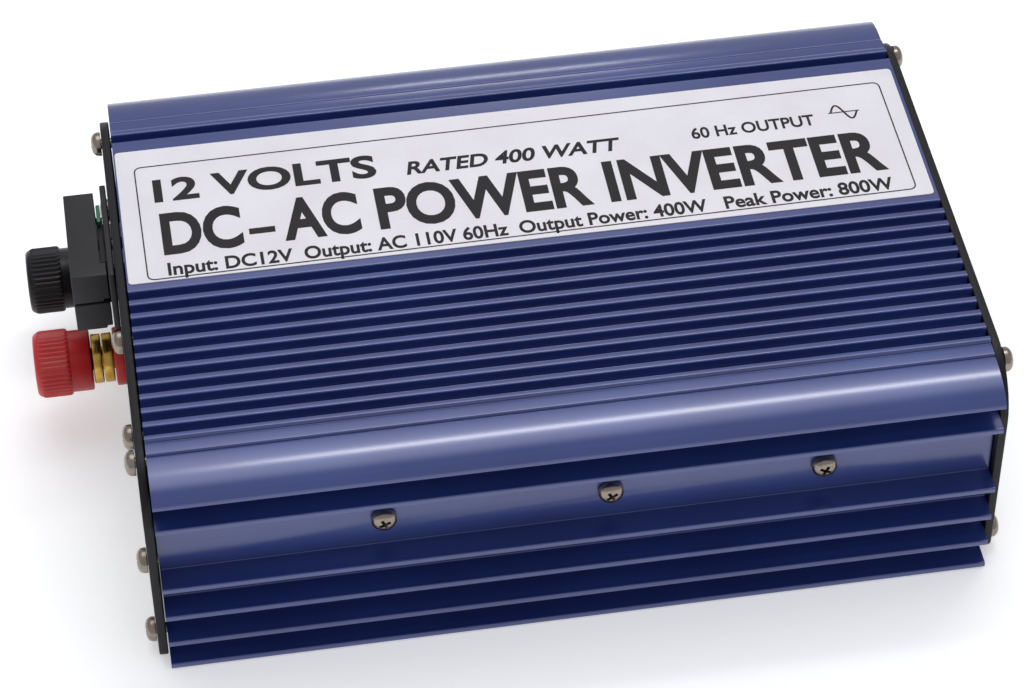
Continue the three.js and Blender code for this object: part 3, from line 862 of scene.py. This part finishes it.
# distances out from the panel
postLong = {
    "baseTop": 3,
    "ringLow": 3.3,
    "ringTop": 5.8,
    "washerTop": 8.5,
    "collarTop": 14.2,
    "capTop": 23,
    "studOut": 20.5,
    "studIn": -13,
}


def capRipple(x, radius, angle):
    p, at = bindingPost, postLong
    start = min(1, max(0, (x - at["collarTop"] - 0.05) / 0.5))
    end = min(1, max(0, (at["capTop"] - 1.0 - x) / 0.7))
    if radius < p["collar"] + 0.05:
        return radius
    wave = 0.5 + 0.5 * math.cos(angle * p["ribs"])
    return radius + (p["grip"] - p["valley"]) * min(start, end) * wave**0.7


def capMesh():
    p, at = bindingPost, postLong
    low, step, top = at["washerTop"] + 0.3, at["collarTop"], at["capTop"]
    end = at["studOut"] + 0.5
    bore = [(end, 0), (end, p["bore"]), (low + 0.3, p["bore"]), (low, p["bore"] + 0.3)]
    collar = [(low, p["collar"] - 0.45), (low + 0.15, p["collar"] - 0.12), (low + 0.45, p["collar"])]
    collar += [(step - 0.15, p["collar"]), (step, p["collar"] + 0.04), (step + 0.05, p["valley"])]
    grip = [(step + 0.2 + 0.45 * k, p["valley"]) for k in range(17)]
    edge = []
    curve = p["capRound"]
    for k in range(7):
        angle = math.pi / 2 * k / 6
        edge.append((top - curve + curve * math.sin(angle), p["valley"] - curve + curve * math.cos(angle)))
    dish = [(top, 5.2), (top - 0.1, 5.0), (top - 0.4, 4.8), (top - 0.4, 0)]
    return turnedMesh("cap", bore + collar + grip + edge + dish, p["ribs"] * 6, capRipple, degrees=40)


# Threads the bare stud, but not its ends, its ring or the stretch inside the panel.
def threadRipple(x, radius, angle):
    plain = postLong["ringLow"] - 4.2 < x < postLong["ringTop"] + 0.35
    if plain or radius < 2.6 or radius > 3.05:
        return radius
    phase = (x / bindingPost["threadPitch"] - angle / math.tau) % 1
    return radius - bindingPost["threadDeep"] * abs(2 * phase - 1)


def studMesh():
    p, at = bindingPost, postLong
    start, low, high, end = at["studIn"], at["ringLow"], at["ringTop"], at["studOut"]
    radius, ring, step = p["stud"], p["ring"], p["threadStep"]
    profile = [(start, 0), (start, radius - 0.6), (start + 0.4, radius - 0.1)]
    profile += [(start + 0.5 + step * k, radius) for k in range(93)]
    profile += rounded([(low, radius), (low, ring), (high, ring), (high, radius)], 0.3, 4, False)
    count = int((end - 0.6 - high - 0.3) / step)
    profile += [(high + 0.3 + step * k, radius) for k in range(count)]
    profile += [(end - 0.5, radius - 0.25), (end, radius - 0.7), (end, 0)]
    stud = turnedMesh("stud", profile, 36, threadRipple, degrees=25)
    drill = rodMesh(-8, 8, p["wireHole"], 24, shifted(high + 1.6, 0, 0) @ turnedBy(90, "Z"))
    return carved(stud, [drill], degrees=25)


def baseMesh():
    p, top = bindingPost, postLong["baseTop"]
    profile = [(-4, p["bore"]), (-4, p["spigot"]), (0.3, p["spigot"]), (0.3, p["base"])]
    profile += [(top, p["base"]), (top, p["bore"]), (-4, p["bore"])]
    return turnedMesh("postBase", rounded(profile, 0.45, 4, False), 64)


def washerMesh():
    p, at = bindingPost, postLong
    low, high, bore, rim = at["ringTop"] + 0.3, at["washerTop"], p["bore"], p["ring"]
    outline = [(low, bore), (low, rim), (high, rim), (high, bore), (low, bore)]
    return turnedMesh("washer", rounded(outline, 0.3, 4, False), 64)


def buildPosts():
    panelFace = boxInMm("dc_end_panel")[0].x
    cap, stud, base, washer = capMesh(), studMesh(), baseMesh(), washerMesh()
    nut = easedMesh("red_post_nut", 0.3)
    for colour, plastic in (("red", "redAbs"), ("black", "blackAbs")):
        spot = centreOf(f"{colour}_post_cap")
        place = shifted(panelFace, spot.y, spot.z) @ turnedBy(180, "Z")
        nutPlace = shifted(*(centreOf(f"{colour}_post_nut") - centreOf("red_post_nut")))
        moulded = f"{colour}_gloss_plastic"
        for part, mesh, finish, body, slot, where in (
            ("base", base.copy(), plastic, "chassis", moulded, place),
            ("stud", stud, "turnedBrass", "chassis", "brass", place),
            ("washer", washer, "turnedBrass", f"{colour}_washer", "brass", place),
            ("cap", cap.copy(), plastic, f"{colour}_cap", moulded, place),
            ("nut", nut, "turnedBrass", "chassis", "brass", nutPlace),
        ):
            name = f"{colour}Post{part.capitalize()}"
            addPiece(name, mesh, finish, body, [f"{colour}_post_{part}"], where)


buildPosts()
print("binding posts made")


# ---- fuse block ----

bladeFuse = {
    "head": 4,
    "waist": (7.6, 1.9),  # half width and half height of the part between the blades' roots
    "gripAt": 5.2,
    "gripHalf": 1.7,
    "gripDeep": 0.7,
    "bladeAt": 4.7,
    "bladeHalf": 2.6,
    "bladeThick": 0.8,
    "bladeTaper": (1.4, 1.0),
    "sleeveOut": (8.1, 2.25),  # half width and half height of the sleeve round the blades
    "sleeveIn": (7.75, 0.8),
}


def fuseBody(low, high, waistEnd):
    f = bladeFuse
    middle = (low + high) / 2
    end = low.x + f["head"]
    head = boxMesh("head", low, (end, high.y, high.z), 0.5, 4)
    wide, tall = f["waist"]
    waistLow = (end - 0.6, middle.y - wide, middle.z - tall)
    waist = boxMesh("waist", waistLow, (waistEnd, middle.y + wide, middle.z + tall))
    grooves = []
    for side in (-1, 1):
        y0 = middle.y + side * f["gripAt"] - f["gripHalf"]
        y1 = y0 + 2 * f["gripHalf"]
        for z0, z1 in ((high.z - f["gripDeep"], high.z + 1), (low.z - 1, low.z + f["gripDeep"])):
            grooves.append(boxMesh("groove", (low.x - 1, y0, z0), (end - 0.8, y1, z1), 0.2))
    return carved(carved(head, grooves), [waist], "UNION")


def fuseBlade(x0, x1, y, z):
    half, thick = bladeFuse["bladeHalf"], bladeFuse["bladeThick"] / 2
    taper, narrow = bladeFuse["bladeTaper"]
    outline = [(x0, y - half), (x1 - taper, y - half), (x1, y - half + narrow)]
    outline += [(x1, y + half - narrow), (x1 - taper, y + half), (x0, y + half)]
    ends = [[(x, across, z + rise) for x, across in outline] for rise in (-thick, thick)]
    return prismMesh("blade", *ends)


# The two holders' block, their bezel and the terminal board keep the CAD shapes, with moulded edges.
def buildFuseBlock():
    for name, node, edge, finish, slot in (
        ("fuseBezel", "fuse_bezel", 0.3, "blackNylon", "black_plastic"),
        ("fuseTerminalBoard", "fuse_terminal_board", 0.12, "boardLaminate", "board_laminate"),
    ):
        addPiece(name, easedMesh(node, edge), finish, stands=[node])
    holderBack = boxInMm("fuse_terminal_board")[0].x - 0.3
    bezelFace = boxInMm("fuse_bezel")[0].x
    for which in ("upper", "lower"):
        holder = f"fuse_holder_{which}"
        holderMesh = easedMesh(holder, 0.35)
        addPiece(f"{which}FuseHolder", holderMesh, "blackNylon", stands=[holder])
        node, rides = f"fuse_{which}", f"{which}_fuse"
        low, high = boxInMm(node)
        middle = (low + high) / 2
        body = fuseBody(low, high, holderBack - 0.4)
        addPiece(f"{which}FuseBody", body, "amberBody", rides, [node])
        blades = []
        for side in (-1, 1):
            y = middle.y + side * bladeFuse["bladeAt"]
            blades.append(fuseBlade(holderBack - 0.9, high.x, y, middle.z))
        addPiece(f"{which}FuseBlades", joined("blades", blades), "tinnedZinc", rides)
        ring = [squareHole(middle, *bladeFuse[edge], 0.3) for edge in ("sleeveOut", "sleeveIn")]
        sleeve = plateMesh("sleeve", ring, holderBack + 0.1, bezelFace - 0.1, 0.1)
        addPiece(f"{which}BladeSleeve", sleeve, "blackNylon")


buildFuseBlock()
print("fuse block made")


# ---- cooling fan ----

fanShape = {
    "blades": 7,
    "hub": 8.2,
    "tip": 17.9,
    "rootIn": 0.8,  # how far a blade's root runs into the hub
    "chord": 5.2,
    "flatten": 0.72,
    "depth": 3.5,
    "thick": 0.9,
    "pitchRoot": 52,
    "pitchTip": 34,
    "camber": 0.9,
    "sweep": 0.16,
}


def bladeMesh():
    f = fanShape
    rows, columns = 9, 11
    vertices, faces = [], []
    for side in (1, -1):
        for i in range(rows):
            share = i / (rows - 1)
            radius = f["hub"] - f["rootIn"] + (f["tip"] - f["hub"] + f["rootIn"]) * share
            pitch = math.radians(f["pitchRoot"] + (f["pitchTip"] - f["pitchRoot"]) * share)
            for j in range(columns):
                along = 2 * j / (columns - 1) - 1
                half = f["thick"] / 2 * (1 - along**2) ** 0.5 * side
                bow = f["camber"] * (1 - along**2)
                x = -along * f["chord"] * f["flatten"] * math.sin(pitch) + (bow + half) * math.cos(pitch)
                x = max(-f["depth"], min(f["depth"], x))
                across = along * f["chord"] * math.cos(pitch) + (bow + half) * math.sin(pitch)
                angle = across / radius + f["sweep"] * share
                vertices.append((x, radius * math.cos(angle), radius * math.sin(angle)))
    size = rows * columns
    for i in range(rows - 1):
        for j in range(columns - 1):
            a = i * columns + j
            faces.append((a, a + 1, a + 1 + columns, a + columns))
            faces.append((a + size, a + size + columns, a + size + columns + 1, a + size + 1))
    for j in range(columns - 1):
        for base in (0, (rows - 1) * columns):
            a = base + j
            faces.append((a, a + 1, a + 1 + size, a + size))
    return meshOf("blade", vertices, faces, 50)


def buildFan():
    fanFrame = easedMesh("fan_frame", 0.25)
    addPiece("fanFrame", fanFrame, "fanPlastic", stands=["fan_frame"])
    low, high = boxInMm("fan_rotor")
    spot = (low + high) / 2
    half = (high.x - low.x) / 2
    hub = fanShape["hub"]
    profile = [(-half, 0), (-half, 2), (-half + 0.25, 2.2), (-half + 0.25, hub - 1.6), (-half, hub - 1.2)]
    profile += rounded([(-half, hub - 0.9), (-half, hub), (half, hub)], 0.7, 5, False) + [(half, 0)]
    parts = [turnedMesh("hub", profile, 64)]
    blade = bladeMesh()
    for k in range(fanShape["blades"]):
        one = blade.copy()
        one.transform(turnedBy(360 * k / fanShape["blades"], "X"))
        parts.append(one)
    addPiece(
        "fanRotor",
        joined("rotor", parts, 50),
        "fanPlastic",
        body="fan_rotor",
        stands=["fan_rotor"],
        place=shifted(*spot),
    )


buildFan()
print("fan made")


# ---- AC end ----

rockerMarks = {
    "barLong": 3.4,
    "barWide": 0.7,
    "ring": 1.75,
    "ringWide": 0.5,
    "inkLow": -0.1,
    "inkHigh": 0.04,
    "pivotX": 100.8,
    "restLean": 11,  # degrees, top out
    "out": 4.04,  # from the pivot to the dished face
    "apart": 4.5,
    "faceLean": 9.9,  # lean of the dished face at a mark
}


def buildRockerMarks():
    m = rockerMarks
    half, long = m["barWide"] / 2, m["barLong"] / 2
    low, high = m["inkLow"], m["inkHigh"]
    bar = boxMesh("bar", (low, -half, -long), (high, half, long), 0)
    outer, inner = m["ring"], m["ring"] - m["ringWide"]
    outline = [(low, inner), (low, outer), (high, outer), (high, inner), (low, inner)]
    ring = turnedMesh("ring", outline, 40)
    spot = centreOf("switch_bezel")
    rest = shifted(m["pivotX"], spot.y, spot.z) @ turnedBy(m["restLean"], "Y")
    for name, mark, side in (("switchMarkOn", bar, 1), ("switchMarkOff", ring, -1)):
        place = rest @ shifted(m["out"], 0, side * m["apart"]) @ turnedBy(-side * m["faceLean"], "Y")
        addPiece(name, mark, "whiteInk", body="rocker", place=place)


def buildLamp(node, name, finish):
    low, high = boxInMm(node)
    spot = (low + high) / 2
    radius = (high.y - low.y) / 2
    dome = high.x - (boxInMm("ac_end_panel")[1].x + 0.4)
    profile = [(low.x, 0), (low.x, radius - 0.2), (low.x + 0.2, radius)]
    for k in range(13):
        angle = math.pi / 2 * k / 12
        profile.append((high.x - dome + dome * math.sin(angle), radius * math.cos(angle)))
    lens = turnedMesh("lens", profile, 40)
    addPiece(name, lens, finish, stands=[node], place=shifted(0, spot.y, spot.z))


def buildAcEnd():
    for name, node, edge, finish, body in (
        ("acSocket1", "ac_outlet_1", 0.35, "blackNylon", "chassis"),
        ("acSocket2", "ac_outlet_2", 0.35, "blackNylon", "chassis"),
        ("switchBezel", "switch_bezel", 0.3, "blackNylon", "chassis"),
        ("switchKey", "switch_rocker", 0.25, "blackAbs", "rocker"),
    ):
        addPiece(name, easedMesh(node, edge), finish, body, [node])
    buildRockerMarks()
    buildLamp("power_lamp", "powerLens", "greenLens")
    buildLamp("fault_lamp", "faultLens", "redLens")


buildAcEnd()
print("AC end made")


# ---- label ----

labelPrint = {
    "tilt": 0.5,  # degrees that the print is off square
    "centre": (0, 19.4),
    "frameWide": 190,
    "frameHigh": 40.4,
    "frameCorner": 1.9,
    "frameLine": 0.32,
    "filmCorner": 1.2,
    "filmLow": 62.52,
    "filmTop": 62.74,
    "inkTop": 62.79,
}
# from the print's middle
waveSign = {
    "left": 80.4,
    "right": 87.2,
    "centre": 10.6,
    "high": 2.6,
    "line": 0.5,
    "axisLine": 0.3,
    "axisPast": 0.6,
    "steps": 40,
}
# words, left, right, baseline, capital height (mm from the print's middle), boldness, slant
labelLines = [
    ("labelVolts", "12 VOLTS", -91, -35.6, 6.8, 8.2, 0.03, 0),
    ("labelWatts", "RATED 400 WATT", -28.3, 26, 6.2, 4.7, 0.026, 0.2),
    ("labelHertz", "60 Hz OUTPUT", 44.2, 75.8, 7.0, 4.0, 0.02, 0),
    ("labelTitleInput", "DC", -90.4, -70.7, -12.2, 14.8, 0.034, 0),
    ("labelTitleDash", "-", -69.2, -62.8, -12.2, 14.8, 0.0, 0),
    ("labelTitleOutput", "AC", -60.8, -41.8, -12.2, 14.8, 0.034, 0),
    ("labelTitleMiddle", "POWER", -37.4, 15.7, -12.2, 14.8, 0.032, 0),
    ("labelTitleRight", "INVERTER", 19.9, 90, -12.2, 14.8, 0.032, 0),
    ("labelInput", "Input: DC12V", -90, -59.6, -19.4, 4.4, 0.024, 0),
    ("labelOutput", "Output: AC 110V 60Hz", -56.8, -6.8, -19.4, 4.4, 0.024, 0),
    ("labelPower", "Output Power: 400W", -4, 42.8, -19.4, 4.4, 0.024, 0),
    ("labelPeak", "Peak Power: 800W", 47.2, 89.7, -19.4, 4.4, 0.024, 0),
]


def textMesh(words, bold):
    curve = bpy.data.curves.new("words", "FONT")
    curve.body = words
    curve.size = 1
    curve.offset = bold
    curve.extrude = 0.5
    curve.resolution_u = 5
    return meshFromCurve("words", curve)


def spanOf(mesh, axis):
    values = [v.co[axis] for v in mesh.vertices]
    return min(values), max(values)


def buildLabel():
    p = labelPrint
    low, high = boxInMm("rating_label")
    corners = rectangle(low.x, high.x, low.y, high.y, p["filmCorner"])
    film = prismMesh("film", *[[(x, y, z) for x, y in corners] for z in (p["filmLow"], p["filmTop"])])
    addPiece("labelFilm", film, "labelFilm", stands=["rating_label"])
    place = shifted(*p["centre"], 0) @ turnedBy(p["tilt"], "Z")
    inkMiddle = (p["filmTop"] + p["inkTop"]) / 2
    inkThick = p["inkTop"] - p["filmTop"] + 0.02
    for name, words, left, right, baseline, capital, bold, slant in labelLines:
        mesh = textMesh(words, bold)
        mesh.transform(Matrix(((1, slant, 0, 0), (0, 1, 0, 0), (0, 0, 1, 0), (0, 0, 0, 1))))
        start, end = spanOf(mesh, 0)
        foot, head = spanOf(textMesh("H", bold), 1)
        wide, tall = (right - left) / (end - start), capital / (head - foot)
        shape = Matrix.Diagonal((wide * mm, tall * mm, inkThick * mm, 1))
        shift = shifted(left - start * wide, baseline - foot * tall, inkMiddle)
        mesh.transform(place @ shift @ shape)
        addPiece(name, settle(mesh), "labelInk")
    buildPrintedFrame(place, inkMiddle, inkThick)
    buildWaveSign(place, inkMiddle, inkThick)


# A flat printed line of even width along a closed or open path.
def strokeMesh(name, path, width, middle, thick, closed):
    vertices, faces = [], []
    count = len(path)
    for i, point in enumerate(path):
        before = Vector(path[i - 1] if closed or i else path[0])
        after = Vector(path[(i + 1) % count] if closed or i < count - 1 else path[-1])
        side = (after - before).normalized().orthogonal() * (width / 2)
        for z in (middle - thick / 2, middle + thick / 2):
            for s in (-1, 1):
                vertices.append((point[0] + side.x * s, point[1] + side.y * s, z))
    for i in range(count if closed else count - 1):
        a, b = i * 4, (i + 1) % count * 4
        for p, q in ((0, 1), (1, 3), (3, 2), (2, 0)):
            faces.append((a + p, a + q, b + q, b + p))
    if not closed:
        faces += [(0, 1, 3, 2), tuple((count - 1) * 4 + k for k in (0, 1, 3, 2))]
    return meshOf(name, vertices, faces)


def buildPrintedFrame(place, middle, thick):
    p = labelPrint
    x, y = p["frameWide"] / 2, p["frameHigh"] / 2
    path = rectangle(-x, x, -y, y, p["frameCorner"], 8)
    mesh = strokeMesh("frameLine", path, p["frameLine"], middle, thick, True)
    mesh.transform(place)
    addPiece("labelFrameLine", mesh, "labelInk")


# A sine wave over its axis.
def buildWaveSign(place, middle, thick):
    w = waveSign
    wave = []
    for k in range(w["steps"] + 1):
        share = k / w["steps"]
        height = w["centre"] + w["high"] * math.sin(math.tau * share)
        wave.append((w["left"] + (w["right"] - w["left"]) * share, height))
    axis = [(w["left"] - w["axisPast"], w["centre"]), (w["right"] + w["axisPast"], w["centre"])]
    parts = [strokeMesh("wave", wave, w["line"], middle, thick, False)]
    parts.append(strokeMesh("axis", axis, w["axisLine"], middle, thick - 0.01, False))
    mesh = joined("waveSign", parts)
    mesh.transform(place)
    addPiece("labelWaveSign", mesh, "labelInk")


buildLabel()
print("label made")


# ---- inside ----

insideLooks = {
    "main_board": "boardLaminate",
    "transformer_core": "ferrite",
    "transformer_coil": "copperWire",
    "output_choke": "copperWire",
    "input_capacitor_1": "shrinkSleeve",
    "input_capacitor_2": "shrinkSleeve",
    "output_capacitor": "shrinkSleeve",
    "clamp_bar_front": "millAluminium",
    "clamp_bar_rear": "millAluminium",
    "transistor_front_1": "epoxyCase",
    "transistor_front_2": "epoxyCase",
    "transistor_rear_1": "epoxyCase",
    "transistor_rear_2": "epoxyCase",
}
for node, finish in insideLooks.items():
    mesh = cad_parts[node].data
    mesh.materials.clear()
    mesh.materials.append(finishes[finish])
print("inside finished")


# ---- studio ----

studio = {
    "floorDrop": 0.0004,
    "floorHalf": 12,
    "skyEven": 0.6,
    "skyGlow": 2.3,  # a broad soft glow above, a little to the rear
    "glowTowards": (0, 0.3, 0.954),
    "glowReach": 0.87,  # cosine of the angle where it ends
    "stripPower": 2.5,
    "stripSize": (0.65, 0.1),
    "stripPlace": (0.275, 0.41, 1.27),
    "stripTurn": 4,  # degrees about Z
    "rearPower": 0.28,
    "rearSize": (0.17, 0.05),
    "rearPlace": (0.13, 1.05, 0.66),
    "rearTurn": 0,
}
cameraAt = {
    "lens": 118.453,
    "place": (-94.754, -587.893, 629.687),
    "azimuth": 8.562,
    "elevation": 45.5,
    "roll": -0.5446,
}


# A softbox with its long side along X, tipped towards the object and turned a little about Z.
def softbox(name, power, size, place, turn):
    light = bpy.data.lights.new(name, "AREA")
    light.shape = "RECTANGLE"
    light.size, light.size_y = size
    light.energy = power
    lamp = bpy.data.objects.new(name, light)
    lamp.location = place
    lamp.rotation_euler = (-math.atan2(place[1], place[2]), 0, math.radians(turn))
    scene.collection.objects.link(lamp)


def buildStudio():
    half, z = studio["floorHalf"], -studio["floorDrop"]
    floor = bpy.data.meshes.new("floor")
    corners = [(-half, -half, z), (half, -half, z), (half, half, z), (-half, half, z)]
    floor.from_pydata(corners, [], [(0, 1, 2, 3)])
    floor.materials.append(finishes["studioFloor"])
    ground = bpy.data.objects.new("studioFloor", floor)
    scene.collection.objects.link(ground)
    world = bpy.data.worlds.new("studio")
    world.use_nodes = True
    tree = world.node_tree
    sky = tree.nodes["Background"]
    sky.inputs["Color"].default_value = srgb("#f8f9ff")
    facing = {0: addNode(tree, "TexCoord").outputs["Generated"], 1: studio["glowTowards"]}
    nearness = addNode(tree, "VectorMath", {"operation": "DOT_PRODUCT"}, facing).outputs["Value"]
    fade = {"From Min": studio["glowReach"], "To Min": studio["skyEven"], "To Max": studio["skyGlow"]}
    strength = addNode(tree, "MapRange", {"interpolation_type": "SMOOTHSTEP"}, {"Value": nearness, **fade})
    tree.links.new(strength.outputs["Result"], sky.inputs["Strength"])
    scene.world = world
    scene.view_settings.view_transform = "Standard"
    for name, key in (("stripAbove", "strip"), ("stripBehind", "rear")):
        softbox(name, *[studio[key + value] for value in ("Power", "Size", "Place", "Turn")])


def buildCamera():
    lens = bpy.data.cameras.new("camera")
    lens.lens = cameraAt["lens"]
    lens.sensor_width = 36
    lens.clip_start, lens.clip_end = 0.05, 60
    camera = bpy.data.objects.new("camera", lens)
    azimuth, elevation = math.radians(cameraAt["azimuth"]), math.radians(cameraAt["elevation"])
    level = math.cos(elevation)
    forward = Vector((math.sin(azimuth) * level, math.cos(azimuth) * level, -math.sin(elevation)))
    aim = forward.to_track_quat("-Z", "Y").to_matrix().to_4x4()
    camera.matrix_world = shifted(*cameraAt["place"]) @ aim @ turnedBy(cameraAt["roll"], "Z")
    scene.collection.objects.link(camera)
    scene.camera = camera


buildStudio()
buildCamera()
print("studio and camera made")
